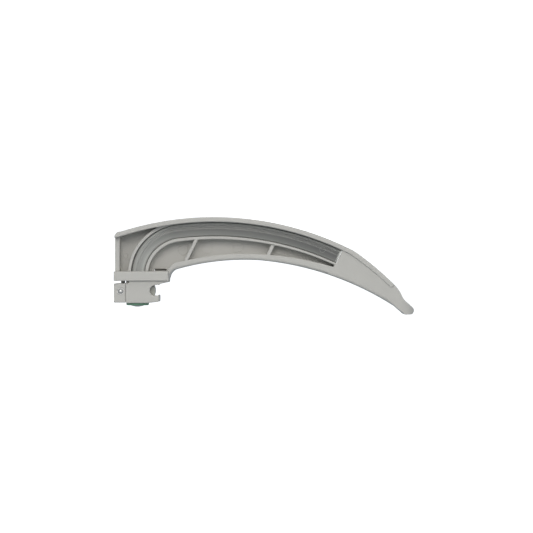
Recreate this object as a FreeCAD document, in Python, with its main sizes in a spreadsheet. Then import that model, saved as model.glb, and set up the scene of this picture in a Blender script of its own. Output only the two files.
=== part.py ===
"""Single-use curved laryngoscope blade with a hook-on heel fitting, as a parametric FreeCAD document.

Frame, in millimetres: the origin is the centre of the hinge-pin seat in the hook, +X runs from the heel
towards the tip, +Z away from the handle, and +Y to the user's right. The web and its pockets open to -Y.
"""
import FreeCAD
import Part
import Sketcher
import math
import os

document = FreeCAD.newDocument("laryngoscope_blade")

# ---------------------------------------------------------------- driving dimensions

SIZES = {
    # side outline: crown of the flange, sole of the tongue plate, throat and tip
    "crown_x": 25.5, "crown_z": -100.8, "crown_radius": 132.5, "crown_end": 63.2, "crown_start": 107.65,
    "back_x": -17.3, "back_corner": 2.4, "back_corner_z": 22.7, "seat_z": 8.3,
    "sole_x": 38.5, "sole_z": -94.97, "sole_radius": 108.28, "sole_start": 105.6, "sole_mid": 86.3,
    "sole_far_radius": 131.5, "sole_end_x": 104.0, "sole_end_z": -6.95,
    "throat_radius": 4.2, "toe_x": 5.95, "toe_low_x": 6.15, "toe_z": 5.5,
    "tip_heel_x": 106.9, "tip_heel_z": -9.5, "tip_flat_start": 107.9, "tip_flat_end": 110.6,
    "tip_flat_z": -10.4, "tip_nose_radius": 1.75, "tip_nose_x": 111.8, "tip_nose_z": -7.55,
    "neck_x": 108.1, "neck_z": -4.35, "neck_radius": 7.5, "neck_top_x": 106.4, "neck_top_z": -1.6,
    "brow_x": 103.4, "brow_z": 2.55, "brow_radius": 16.0, "ridge_radius": 128.4,
    "ridge_x": 87.4, "ridge_z": 16.1,
    # inner corners: under the flange, round the throat, and the narrow far end of the tongue pocket
    "under_start": 107.55, "under_end": 63.6, "ridge_under_x": 86.5,
    "brow_under_x": 101.9, "brow_under_z": 1.25,
    "throat_wall_x": 7.25, "throat_wall_z": 11.15, "pocket_sole_start": 104.4,
    "pocket_end_x": 77.0, "pocket_end_z": 10.2, "pocket_nose_x": 77.4, "pocket_nose_z": 11.1,
    "pocket_roof_radius": 122.9,
    # the shallow channel beyond the guide's end that lets the beam out
    "beam_foot_x": 82.0, "beam_foot_z": 8.0, "beam_toe_x": 101.0, "beam_toe_z": -2.3,
    "beam_brow_x": 101.6, "beam_brow_z": 1.6, "beam_ridge_x": 86.6, "beam_ridge_z": 14.1, "beam_lap": 0.1,
    # depths across the blade
    "rim_near": 6.0, "web_floor": 0.0, "web_thick": 1.5, "flange_near": 9.5, "flange_thick": 2.0,
    "flange_mid_lip": 0.7, "flange_end_lip": 0.4, "taper_start": 20, "taper_mid": 84, "taper_end": 108,
    "sole_thick": 2.6, "sole_round": 1.1, "slab_thick": 1.7,
    "far_edge": 9.0, "far_edge_heel": 7.0, "far_edge_widest": 45,
    "tip_round": 6.5, "tip_over": 0.5, "tip_clear": 3,
    # how far a pad is buried or a cut runs past what it cuts, and the height that clears the whole blade
    "spare": 0.5, "clear_under": 50, "clear_height": 150,
    # the light guide's centre line: two heel bends and then the crown's own centre
    "guide_depth_below_crown": 5.17, "bend_small": 18.34, "bend_large": 20.01,
    "bend_join": 139.64, "bend_exit": 97.15, "guide_end": 64.9, "guide_tip": 64.95, "guide_half": 2.87,
    "guide_near": 5.2, "guide_far": -0.1, "guide_foot_z": 5.8,
    "rib_gap": 0.15, "rib_outer": 1.35, "rib_inner": 1.4, "rib_outer_end": 117.12,
    "back_wall": 2.0, "strut_thick": 1.68,
    "near_strut_foot": 12.5, "near_strut_head": 17.2, "near_strut_low": 13.0, "near_strut_high": 22.6,
    "far_strut_foot": 47.9, "far_strut_head": 50.1, "far_strut_low": 15.0, "far_strut_high": 19.8,
    # heel fitting
    "plate_left": -17.8, "plate_right": 5.9, "plate_under": 4.2, "plate_half": 7.6, "plate_round": 0.85,
    "block_left": -12.7, "block_right": 1.65, "block_under": -5.4, "block_half": 6.3, "lip_under": -4.9,
    "lip_slope_x": -3.35, "lip_corner": 0.6,
    "notch_radius": 2.3, "lip_start": -52.5, "lip_round": 0.7, "lip_top": -2.5,
    "jaw_x": 2.5, "jaw_z": 3.0, "jaw_end_z": 3.7,
    "slot_under": 3.15, "slot_end": -11.2, "gap_round": 0.53, "gap_depth": 2.2,
    "leaf_slot_half": 2.7, "leaf_slot_back": -4.25, "leaf_slot_under": -4.5, "leaf_slot_top": 3.9,
    "leaf_slot_sill": -2.75, "leaf_slot_front": 1.61, "leaf_slot_roof": 2.1, "leaf_slot_mouth": 2.65,
    "barrel_x": -7.94, "barrel_radius": 2.8, "barrel_gap": 0.05, "barrel_well": 5.5, "barrel_foot": -5.2,
    "bore_top": 6.2, "guide_gap": 0.1,
    "snap_left": -0.78, "snap_right": 4.66, "snap_height": 0.8, "snap_sill": 0.2,
    "snap_tongue": 1.2, "snap_rise": 2.4, "snap_gap": 0.1, "snap_catch": 0.4, "snap_nose_wide": 0.5,
    "snap_recess": 0.9,
    # detent housing, balls, sleeves and spring
    "housing_right": -12.75, "housing_under": -5.2, "housing_round": 0.5,
    "post_left": -15.1, "post_right": -13.5, "post_half": 1.5, "post_bury": 1.5, "post_play": 0.05,
    "detent_x": -14.94, "detent_z": -0.3,
    "ball_radius": 1.25, "ball_proud": 0.56, "sleeve_radius": 1.5, "sleeve_bore": 1.29,
    "sleeve_mouth": 1.15, "sleeve_lip": 0.15, "sleeve_length": 2.6, "spring_bore": 1.3,
    "coil_radius": 0.85, "coil_wire": 0.17, "coil_turns": 11, "coil_play": 0.02,
    # ring, inlet dome and leaf spring
    "ring_radius": 4.92, "ring_under": -6.43, "ring_bore": 3.15, "ring_neck": 3.6, "ring_neck_depth": 1.6,
    "ring_round": 0.5, "dome_radius": 3.1, "dome_tip": -7.08, "dome_land": 0.1, "dome_bury": 0.3,
    "leaf_front": -0.1, "leaf_thick": 0.35, "leaf_half": 2.5, "leaf_end_x": -1.9, "leaf_end_z": 3.6,
    "leaf_apart": 0.25, "leaf_return_end_x": -1.69, "leaf_return_end_z": 2.6, "leaf_return_step": 0.49,
    "leaf_fold_left": -2.1, "leaf_fold_right": -1.0, "leaf_fold_under": -2.9, "leaf_fold_top": -2.45,
    "leaf_step": 0.1, "leaf_root_x": -2.2, "leaf_knee_x": 0.2, "leaf_knee_z": 3.08, "leaf_knee_lap": 0.15,
    "leaf_bump_x": 1.3, "leaf_bump_z": 2.38, "leaf_toe_x": 2.15, "leaf_toe_z": 2.98,
    "leaf_side_x": -2.35, "leaf_side_z": 2.4, "leaf_side_front": -0.25, "leaf_side_end_x": -0.95,
    "leaf_side_thick": 0.25,
}

sheet = document.addObject("Spreadsheet::Sheet", "dims")
for row, (alias, size) in enumerate(SIZES.items(), start=1):
    sheet.set(f"A{row}", alias)
    sheet.set(f"B{row}", str(size))
    sheet.setAlias(f"B{row}", alias)
document.recompute()


def cells(expression):
    """Put the sheet's name in front of its own words: 'crown_x + 2' becomes 'dims.crown_x + 2'."""
    words = ""
    token = ""
    for letter in expression + " ":
        if letter.isalnum() or letter == "_":
            token += letter
            continue
        words += f"dims.{token}" if token in SIZES else token
        words += letter
        token = ""
    return words.strip()


def value(expression):
    """The number that an expression in the sheet's names comes to now."""
    return float(sheet.evalExpression(cells(expression)))


# ---------------------------------------------------------------- sketch and feature helpers

PLANES = {"side": "XZ_Plane", "plan": "XY_Plane"}


def new_body(label):
    body = document.addObject("PartDesign::Body", label)
    body.Label = label
    return body


def new_sketch(body, name, plane, offset):
    """A sketch on the body's own origin plane, moved along the plane's normal by an expression."""
    sketch = body.newObject("Sketcher::SketchObject", name)
    role = PLANES[plane]
    support = next(item for item in body.Origin.OriginFeatures if item.Role == role)
    sketch.AttachmentSupport = (support, "")
    sketch.MapMode = "FlatFace"
    sketch.setExpression("AttachmentOffset.Base.z", cells(offset))
    return sketch


def bind(sketch, kind, *place, size):
    """Add one dimension to a sketch and bind it to the sheet."""
    number = sketch.addConstraint(Sketcher.Constraint(kind, *place, value(size)))
    sketch.setExpression(f"Constraints[{number}]", cells(size))


def arc_between(start, end, radius):
    """The short arc from start to end; a positive radius turns left, a negative one right."""
    chord = end - start
    half = chord.Length / 2
    rise = math.sqrt(max(radius * radius - half * half, 0.0))
    left = FreeCAD.Vector(-chord.y, chord.x, 0).normalize()
    middle = (start + end) * 0.5
    centre = middle + left * math.copysign(rise, radius)
    first, last = (start, end) if radius > 0 else (end, start)
    angles = [math.atan2(point.y - centre.y, point.x - centre.x) for point in (first, last)]
    circle = Part.Circle(centre, FreeCAD.Vector(0, 0, 1), abs(radius))
    return Part.ArcOfCircle(circle, angles[0], angles[1])


def outline(sketch, corners):
    """Close an outline through corners (across, up, bend). A bend is the radius of the arc to the next
    corner, with '-' in front where it turns right, or None for a straight edge."""
    points = [FreeCAD.Vector(value(across), value(up), 0) for across, up, _ in corners]
    count = len(corners)
    first_edge = sketch.GeometryCount
    ends = []
    for index, (_, _, bend) in enumerate(corners):
        start, end = points[index], points[(index + 1) % count]
        if bend is None:
            sketch.addGeometry(Part.LineSegment(start, end))
            ends.append((1, 2))
        else:
            turns_right = bend.startswith("-")
            radius = value(bend.lstrip("-"))
            sketch.addGeometry(arc_between(start, end, -radius if turns_right else radius))
            ends.append((2, 1) if turns_right else (1, 2))
    for index, (across, up, bend) in enumerate(corners):
        edge = first_edge + index
        following = first_edge + (index + 1) % count
        sketch.addConstraint(Sketcher.Constraint("Coincident", edge, ends[index][1],
                                                 following, ends[(index + 1) % count][0]))
        bind(sketch, "DistanceX", -1, 1, edge, ends[index][0], size=across)
        bind(sketch, "DistanceY", -1, 1, edge, ends[index][0], size=up)
        if bend is not None:
            bind(sketch, "Radius", edge, size=bend.lstrip("-"))


def rectangle(sketch, left, low, right, high):
    outline(sketch, [(left, low, None), (right, low, None), (right, high, None), (left, high, None)])


def circle(sketch, across, up, radius):
    edge = sketch.addGeometry(Part.Circle(FreeCAD.Vector(value(across), value(up), 0),
                                          FreeCAD.Vector(0, 0, 1), value(radius)))
    bind(sketch, "DistanceX", -1, 1, edge, 3, size=across)
    bind(sketch, "DistanceY", -1, 1, edge, 3, size=up)
    bind(sketch, "Radius", edge, size=radius)


def pad(body, name, plane, offset, length, draw, reverse=False):
    """Draw a sketch and pad it. Side sketches pad towards -Y and plan sketches towards +Z."""
    sketch = new_sketch(body, name + "_sketch", plane, offset)
    draw(sketch)
    feature = body.newObject("PartDesign::Pad", name)
    feature.Profile = sketch
    feature.Reversed = reverse
    feature.setExpression("Length", cells(length))
    document.recompute()
    check(feature)
    return feature


def check(feature):
    """Stop at the first feature that failed, by name."""
    if "Invalid" in feature.State or feature.Shape.isNull() or not feature.Shape.isValid():
        raise RuntimeError(f"{feature.Name} has no valid shape")


def pocket(body, name, plane, offset, length, draw, reverse=False):
    """Draw a sketch and cut it against the sketch's normal; the cut has to remove something."""
    before = body.Shape.Volume
    sketch = new_sketch(body, name + "_sketch", plane, offset)
    draw(sketch)
    feature = body.newObject("PartDesign::Pocket", name)
    feature.Profile = sketch
    feature.Reversed = reverse
    feature.setExpression("Length", cells(length))
    document.recompute()
    if body.Shape.Volume > before - 0.001:
        raise RuntimeError(f"{name} cut nothing")
    return feature


def fillet(body, name, radius, wanted):
    """Round the edges of the body's last feature that a test picks."""
    tip = body.Tip
    names = [f"Edge{index}" for index, edge in enumerate(tip.Shape.Edges, start=1) if wanted(edge)]
    feature = body.newObject("PartDesign::Fillet", name)
    feature.Base = (tip, names)
    feature.setExpression("Radius", cells(radius))
    document.recompute()
    return feature


def around(centre_x, centre_z, radius, angle):
    """A point at a radius and an angle, in degrees, from a centre, as two expressions."""
    return (f"({centre_x}) + ({radius}) * cos({angle})", f"({centre_z}) + ({radius}) * sin({angle})")


# ---------------------------------------------------------------- the light guide's line

CROWN = ("crown_x", "crown_z")
LINE_RADIUS = "(crown_radius - guide_depth_below_crown)"
LARGE = around(*CROWN, f"{LINE_RADIUS} - bend_large", "bend_exit")
SMALL = around(*LARGE, "bend_large - bend_small", "bend_join")
FOOT_X = f"({SMALL[0]} - bend_small)"


def beside_line(shift, foot, last_angle):
    """Corners of the guide's centre line moved outwards by an expression, from its foot to the far end."""
    return [
        (f"{FOOT_X} - ({shift})", foot, None),
        (f"{FOOT_X} - ({shift})", SMALL[1], f"-bend_small + ({shift})"),
        (*around(*SMALL, f"bend_small + ({shift})", "bend_join"), f"-bend_large + ({shift})"),
        (*around(*CROWN, f"{LINE_RADIUS} + ({shift})", "bend_exit"), f"-{LINE_RADIUS} + ({shift})"),
        (*around(*CROWN, f"{LINE_RADIUS} + ({shift})", last_angle), None),
    ]


def turned_back(corners):
    """The same corners walked the other way."""
    bends = [bend for _, _, bend in corners[:-1]]
    back = []
    for index in range(len(corners) - 1, -1, -1):
        bend = bends[index - 1] if index else None
        if bend is not None:
            bend = bend[1:] if bend.startswith("-") else "-" + bend
        back.append((corners[index][0], corners[index][1], bend))
    return back


# ---------------------------------------------------------------- blade body

SOLE = ("sole_x", "sole_z")


def sole_line(rise):
    """Corners of the sole from the throat to the tip, raised by an expression."""
    return [
        (*around(*SOLE, f"sole_radius + ({rise})", "sole_start"), f"-sole_radius + ({rise})"),
        (*around(*SOLE, f"sole_radius + ({rise})", "sole_mid"), f"-sole_far_radius + ({rise})"),
        ("sole_end_x", f"sole_end_z + ({rise})", None),
    ]


TIP_LINE = [
    ("tip_heel_x", "tip_heel_z", None),
    ("tip_flat_start", "tip_flat_z", None),
    ("tip_flat_end", "tip_flat_z", "tip_nose_radius"),
    ("tip_nose_x", "tip_nose_z", None),
    ("neck_x", "neck_z", "-neck_radius"),
    ("neck_top_x", "neck_top_z", "brow_radius"),
]


def side_outline(sketch):
    corners = [("back_x", "seat_z", None), ("toe_x", "seat_z", None), ("toe_x", "toe_z", None),
               ("toe_low_x", "toe_z", "-throat_radius")]
    corners += sole_line("0") + TIP_LINE
    corners += [
        ("brow_x", "brow_z", "ridge_radius"),
        ("ridge_x", "ridge_z", None),
        (*around(*CROWN, "crown_radius", "crown_end"), "crown_radius"),
        (*around(*CROWN, "crown_radius", "crown_start"), "back_corner"),
        ("back_x", "back_corner_z", None),
    ]
    outline(sketch, corners)


def heel_pocket_outline(sketch):
    wall = "guide_half + rib_gap + rib_outer"
    inner_x = "back_x + back_wall"
    under = "crown_radius - flange_thick"
    foot_x = f"{FOOT_X} - ({wall})"
    outline(sketch, [
        (inner_x, "guide_foot_z", None),
        (foot_x, "guide_foot_z", None),
        (foot_x, SMALL[1], f"-bend_small + ({wall})"),
        (*around(*SMALL, f"bend_small + {wall}", "bend_join"), f"-bend_large + ({wall})"),
        (*around(*LARGE, f"bend_large + {wall}", "rib_outer_end"), under),
        (inner_x, f"crown_z + sqrt(({under})^2 - ({inner_x} - crown_x)^2)", None),
    ])


def guide_channel_outline(sketch):
    outer = beside_line("guide_half + rib_gap", "guide_foot_z", "guide_end")
    inner = beside_line("-guide_half - rib_gap", "guide_foot_z", "guide_end")
    outline(sketch, inner_first(inner, outer))


def inner_first(inner, outer):
    """Close a band between two lines that run the same way."""
    return turned_back(inner) + outer


def tongue_pocket_outline(sketch):
    wall = "-guide_half - rib_gap - rib_inner"
    foot_x = f"{FOOT_X} - ({wall})"
    outline(sketch, [
        (foot_x, "guide_foot_z", None),
        ("snap_right + snap_gap", "guide_foot_z", None),
        ("snap_right + snap_gap", "seat_z", None),
        ("throat_wall_x", "throat_wall_z", "-throat_radius"),
        (*around(*SOLE, "sole_radius + sole_thick", "pocket_sole_start"), "-sole_radius + sole_thick"),
        (*around(*SOLE, "sole_radius + sole_thick", "sole_mid"), "-sole_far_radius"),
        ("pocket_end_x", "pocket_end_z", None),
        ("pocket_nose_x", "pocket_nose_z", "pocket_roof_radius"),
        (*around(*CROWN, f"{LINE_RADIUS} + {wall}", "bend_exit"), f"bend_large + ({wall})"),
        (*around(*SMALL, f"bend_small + {wall}", "bend_join"), f"bend_small + ({wall})"),
        (foot_x, SMALL[1], None),
    ])


def strut_outline(strut):
    """A leaning strut between the sole and the inner rib, buried in both."""
    def draw(sketch):
        outline(sketch, [
            (f"{strut}_foot", f"{strut}_low", None),
            (f"{strut}_foot + strut_thick", f"{strut}_low", None),
            (f"{strut}_head + strut_thick", f"{strut}_high", None),
            (f"{strut}_head", f"{strut}_high", None),
        ])
    return draw


def beam_channel_outline(sketch):
    """The open side of the far end, where the light leaves the guide, between flange and tongue plate."""
    outline(sketch, [
        (*around(*CROWN, f"{LINE_RADIUS} - guide_half - rib_gap", "guide_end"), None),
        ("beam_foot_x", "beam_foot_z", "-sole_far_radius"),
        ("beam_toe_x", "beam_toe_z", None),
        ("beam_brow_x", "beam_brow_z", "ridge_radius - flange_thick"),
        ("beam_ridge_x", "beam_ridge_z", None),
        (*around(*CROWN, "crown_radius - flange_thick - beam_lap", "guide_end"), None),
    ])


def flange_outline(sketch):
    """The flange's edge band, from its rounded heel end along the crown and the ridge to the brow."""
    under = "crown_radius - flange_thick"
    outline(sketch, [
        (*around(*CROWN, under, "under_start"), f"-{under}"),
        (*around(*CROWN, under, "under_end"), None),
        ("ridge_under_x", "ridge_z - flange_thick", "-ridge_radius + flange_thick"),
        ("brow_under_x", "brow_under_z", None),
        ("brow_x", "brow_z", "ridge_radius"),
        ("ridge_x", "ridge_z", None),
        (*around(*CROWN, "crown_radius", "crown_end"), "crown_radius"),
        (*around(*CROWN, "crown_radius", "crown_start"), "back_corner"),
        ("back_x", "back_corner_z", None),
    ])


def flange_taper_outline(sketch):
    """Outside the flange's near edge, which draws in towards the tip."""
    outline(sketch, [
        ("taper_start", "-flange_near", None),
        ("taper_mid", "-rim_near - flange_mid_lip", None),
        ("taper_end", "-rim_near - flange_end_lip", None),
        ("taper_end", "-flange_near - spare", None),
        ("taper_start", "-flange_near - spare", None),
    ])


def tongue_outline(sketch):
    corners = [("toe_x", "toe_z", None), ("toe_low_x", "toe_z", "-throat_radius")]
    corners += sole_line("0") + TIP_LINE[:4]
    corners += [("neck_x", "neck_z", None)]
    corners += turned_back(sole_line("sole_thick"))
    corners[-1] = (*corners[-1][:2], "throat_radius")
    corners += [("throat_wall_x", "throat_wall_z", None), ("snap_right + snap_gap", "seat_z", None),
                ("toe_x", "seat_z", None)]
    outline(sketch, corners)


def far_trim_outline(sketch):
    """Outside the tongue plate's free edge: narrow at the heel, round at the tip."""
    outline(sketch, [
        ("0", "far_edge_heel", None),
        ("far_edge_widest", "far_edge", None),
        ("tip_nose_x - tip_round", "far_edge", "-tip_round"),
        ("tip_nose_x + tip_over", "far_edge - tip_round", None),
        ("tip_nose_x + tip_clear", "far_edge - tip_round", None),
        ("tip_nose_x + tip_clear", "far_edge + tip_clear", None),
        ("0", "far_edge + tip_clear", None),
    ])


def near_trim_outline(sketch):
    """Outside the tip's rounded near corner."""
    outline(sketch, [
        ("tip_nose_x - tip_round", "-rim_near", None),
        ("tip_nose_x - tip_round", "-rim_near - tip_clear", None),
        ("tip_nose_x + tip_clear", "-rim_near - tip_clear", None),
        ("tip_nose_x + tip_clear", "-rim_near + tip_round", None),
        ("tip_nose_x + tip_over", "-rim_near + tip_round", "-tip_round"),
    ])


blade = new_body("blade_body")
pad(blade, "blade_blank", "side", "-web_floor - web_thick", "rim_near + web_floor + web_thick", side_outline)
pad(blade, "tongue_plate", "side", "-far_edge - spare", "far_edge + spare - web_thick / 2", tongue_outline)
pad(blade, "flange", "side", "rim_near - spare", "flange_near - rim_near + spare", flange_outline)
pocket(blade, "heel_pocket", "side", "rim_near", "rim_near - web_floor", heel_pocket_outline)
pocket(blade, "guide_channel", "side", "rim_near", "rim_near - web_floor", guide_channel_outline)
pocket(blade, "tongue_pocket", "side", "rim_near", "rim_near - web_floor", tongue_pocket_outline)
for strut_name in ("near_strut", "far_strut"):
    pad(blade, strut_name, "side", "-web_thick / 2", "rim_near + web_thick / 2", strut_outline(strut_name))
pocket(blade, "beam_channel", "side", "-web_floor - web_thick",
       "rim_near - slab_thick + web_floor + web_thick", beam_channel_outline, reverse=True)
pocket(blade, "snap_window", "side", "web_floor + spare", "web_thick + 2 * spare",
       lambda sketch: rectangle(sketch, "snap_left", "seat_z + snap_sill",
                                "snap_right", "seat_z + snap_sill + snap_height"))


def on_near_sole(edge):
    """The near edge of the sole: its two long arcs, and not the pocket edges that run beside them."""
    close = 0.01
    radii = [value(name) for name in ("sole_radius", "sole_far_radius")]
    return (edge.Curve.TypeId == "Part::GeomCircle"
            and min(abs(edge.Curve.Radius - radius) for radius in radii) < close
            and edge.BoundBox.YMax < close - value("rim_near")
            and edge.BoundBox.ZMax < value("sole_z + sole_radius + spare"))


fillet(blade, "sole_edge", "sole_round", on_near_sole)
pocket(blade, "flange_taper", "plan", "-clear_under", "clear_height", flange_taper_outline, reverse=True)
pocket(blade, "far_trim", "plan", "-clear_under", "clear_height", far_trim_outline, reverse=True)
pocket(blade, "near_trim", "plan", "-clear_under", "clear_height", near_trim_outline, reverse=True)

# ---------------------------------------------------------------- heel fitting


def block_outline(sketch):
    """The hook block: flat back, open notch on the right with a lip below and a sloping jaw above."""
    outline(sketch, [
        ("block_left", "block_under", None),
        ("lip_slope_x", "block_under", None),
        ("block_right - lip_corner", "lip_under", "lip_corner"),
        ("block_right", "lip_under + lip_corner", None),
        ("block_right", "lip_top", "lip_round"),
        ("notch_radius * cos(lip_start)", "notch_radius * sin(lip_start)", "-notch_radius"),
        ("-notch_radius", "0", "-notch_radius"),
        ("0", "notch_radius", None),
        ("jaw_x", "jaw_z", None),
        ("plate_right", "jaw_end_z", None),
        ("plate_right", "plate_under + spare", None),
        ("block_left", "plate_under + spare", None),
    ])


def gap_outline(sketch):
    """The end of the gap between plate and housing, carried a little way into the block."""
    outline(sketch, [
        ("block_left - spare", "slot_under", None),
        ("slot_end - gap_round", "slot_under", "gap_round"),
        ("slot_end - gap_round", "plate_under", None),
        ("block_left - spare", "plate_under", None),
    ])


heel = new_body("heel_fitting")
pad(heel, "base_plate", "side", "-plate_half", "plate_half * 2",
    lambda sketch: rectangle(sketch, "plate_left", "plate_under", "plate_right", "seat_z"))
fillet(heel, "plate_corners", "plate_round",
       lambda edge: edge.BoundBox.ZLength > 2 and edge.BoundBox.XMin > 5)
pad(heel, "snap_tongue", "side", "-web_floor - web_thick - snap_gap - snap_tongue", "snap_tongue",
    lambda sketch: rectangle(sketch, "snap_left + snap_gap", "plate_under + spare",
                             "snap_right - snap_gap", "seat_z + snap_rise"))
pocket(heel, "snap_recess", "side", "-web_floor - web_thick - snap_gap", "snap_recess",
       lambda sketch: rectangle(sketch, "snap_left + snap_gap + snap_nose_wide", "seat_z + snap_sill",
                                "snap_right - snap_gap - snap_nose_wide", "seat_z + snap_sill + snap_height"))
for nose_name, nose_left in (("left_snap_nose", "snap_left + snap_gap"),
                             ("right_snap_nose", "snap_right - snap_gap - snap_nose_wide")):
    pad(heel, nose_name, "side",
        "-web_floor - web_thick - snap_gap - spare", "snap_catch + snap_gap + spare",
        lambda sketch: rectangle(sketch, nose_left, "seat_z + snap_sill + snap_gap",
                                 f"{nose_left} + snap_nose_wide",
                                 "seat_z + snap_sill + snap_height - snap_gap"))
fillet(heel, "plate_back_corners", "plate_round / 2",
       lambda edge: edge.BoundBox.ZLength > 3 and edge.BoundBox.XMax < -15)
pad(heel, "hook_block", "side", "-block_half", "block_half * 2", block_outline)
pocket(heel, "leaf_slot", "side", "leaf_slot_half", "leaf_slot_half * 2",
       lambda sketch: outline(sketch, [
           ("leaf_slot_back", "leaf_slot_under", None),
           ("0", "leaf_slot_under", None),
           ("0", "leaf_slot_sill", None),
           ("leaf_slot_front", "leaf_slot_sill", None),
           ("leaf_slot_front", "leaf_slot_roof", None),
           ("leaf_slot_mouth", "leaf_slot_roof", None),
           ("leaf_slot_mouth", "leaf_slot_top", None),
           ("leaf_slot_back", "leaf_slot_top", None),
       ]))
pocket(heel, "left_gap", "side", "block_half", "gap_depth", gap_outline)
pocket(heel, "right_gap", "side", "-block_half", "gap_depth", gap_outline, reverse=True)
pocket(heel, "barrel_bore", "plan", "block_under - spare", "bore_top - block_under + spare",
       lambda sketch: circle(sketch, "barrel_x", "0", "barrel_radius + barrel_gap"), reverse=True)
pocket(heel, "guide_well", "plan", "barrel_well", "seat_z - barrel_well + spare",
       lambda sketch: rectangle(sketch, f"{FOOT_X} - guide_half - guide_gap", "-guide_near - guide_gap",
                                f"{FOOT_X} + guide_half + guide_gap", "web_floor"), reverse=True)
pocket(heel, "ring_seat", "plan", "block_under", "ring_neck_depth",
       lambda sketch: circle(sketch, "barrel_x", "0", "ring_neck"), reverse=True)
pocket(heel, "post_socket", "plan", "plate_under", "post_bury",
       lambda sketch: rectangle(sketch, "post_left", "-post_half", "post_right", "post_half"), reverse=True)

# ---------------------------------------------------------------- detent housing with its balls and spring

housing = new_body("ball_housing")
pad(housing, "housing_block", "side", "-block_half", "block_half * 2",
    lambda sketch: rectangle(sketch, "plate_left", "housing_under", "housing_right", "slot_under"))
fillet(housing, "housing_edges", "housing_round",
       lambda edge: edge.BoundBox.YLength > 10 and edge.BoundBox.XMax < -17)
pad(housing, "housing_post", "plan",
    "slot_under - spare", "plate_under - slot_under + post_bury + spare - post_play",
    lambda sketch: rectangle(sketch, "post_left", "-post_half", "post_right", "post_half"))
pocket(housing, "spring_bore", "side", "block_half + spare", "block_half * 2 + 2 * spare",
       lambda sketch: circle(sketch, "detent_x", "detent_z", "spring_bore"))
pocket(housing, "left_sleeve_seat", "side", "block_half", "sleeve_length",
       lambda sketch: circle(sketch, "detent_x", "detent_z", "sleeve_radius"))
pocket(housing, "right_sleeve_seat", "side", "-block_half", "sleeve_length",
       lambda sketch: circle(sketch, "detent_x", "detent_z", "sleeve_radius"), reverse=True)


def add_sleeve(label, side):
    """A pressed cup with an inturned lip that keeps a ball in; side is -1 for left and 1 for right."""
    body = new_body(label)
    inner_face = "(block_half - sleeve_length)"
    far = inner_face if side < 0 else "-block_half"
    near = "block_half" if side < 0 else f"-{inner_face}"
    inner = inner_face if side < 0 else f"-{inner_face}"
    pad(body, label + "_tube", "side", far, "sleeve_length",
        lambda sketch: circle(sketch, "detent_x", "detent_z", "sleeve_radius"))
    pocket(body, label + "_mouth", "side", near, "sleeve_length",
           lambda sketch: circle(sketch, "detent_x", "detent_z", "sleeve_mouth"))
    pocket(body, label + "_bore", "side", inner, "sleeve_length - sleeve_lip",
           lambda sketch: circle(sketch, "detent_x", "detent_z", "sleeve_bore"), reverse=side < 0)
    return body


def add_ball(label, side):
    ball = document.addObject("Part::Sphere", label)
    ball.Label = label
    ball.setExpression("Radius", cells("ball_radius"))
    ball.setExpression("Placement.Base.x", cells("detent_x"))
    ball.setExpression("Placement.Base.y", cells(f"{side} * (block_half + ball_proud - ball_radius)"))
    ball.setExpression("Placement.Base.z", cells("detent_z"))
    return ball


sleeves = [add_sleeve("left_ball_sleeve", -1), add_sleeve("right_ball_sleeve", 1)]
balls = [add_ball("left_ball", -1), add_ball("right_ball", 1)]

COIL_REACH = "(block_half + ball_proud - 2 * ball_radius - coil_wire - coil_play)"
coil_line = document.addObject("Part::Helix", "coil_line")
coil_line.setExpression("Radius", cells("coil_radius"))
coil_line.setExpression("Height", cells(f"2 * {COIL_REACH}"))
coil_line.setExpression("Pitch", cells(f"2 * {COIL_REACH} / coil_turns"))
wire_section = document.addObject("Part::Circle", "wire_section")
wire_section.setExpression("Radius", cells("coil_wire"))
wire_section.setExpression("Placement.Base.x", cells("coil_radius"))
wire_section.Placement.Rotation = FreeCAD.Rotation(FreeCAD.Vector(1, 0, 0), 90)
coil = document.addObject("Part::Sweep", "detent_spring")
coil.Label = "detent_spring"
coil.Sections = [wire_section]
coil.Spine = (coil_line, ["Edge1"])
coil.Solid = True
coil.Frenet = True
coil.Placement.Rotation = FreeCAD.Rotation(FreeCAD.Vector(1, 0, 0), -90)
coil.setExpression("Placement.Base.x", cells("detent_x"))
coil.setExpression("Placement.Base.y", cells(f"-{COIL_REACH}"))
coil.setExpression("Placement.Base.z", cells("detent_z"))

# ---------------------------------------------------------------- light guide and colour ring

guide = new_body("light_guide")
pad(guide, "guide_bar", "side", "guide_near", "guide_near + guide_far",
    lambda sketch: outline(sketch, inner_first(beside_line("-guide_half", "guide_foot_z", "guide_tip"),
                                               beside_line("guide_half", "guide_foot_z", "guide_tip"))),
    reverse=True)
pad(guide, "guide_barrel", "plan", "barrel_foot", "guide_foot_z - barrel_foot",
    lambda sketch: circle(sketch, "barrel_x", "0", "barrel_radius"))


def dome_outline(sketch):
    """Half the inlet dome's section, from the barrel's axis outwards."""
    outline(sketch, [
        ("barrel_x", "dome_tip", "(dome_radius^2 + (ring_under - dome_tip)^2) / (ring_under - dome_tip) / 2"),
        ("barrel_x + dome_radius", "ring_under", None),
        ("barrel_x + dome_radius", "block_under + dome_land", None),
        ("barrel_x + barrel_radius", "block_under + dome_bury", None),
        ("barrel_x", "block_under + dome_bury", None),
    ])


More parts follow.
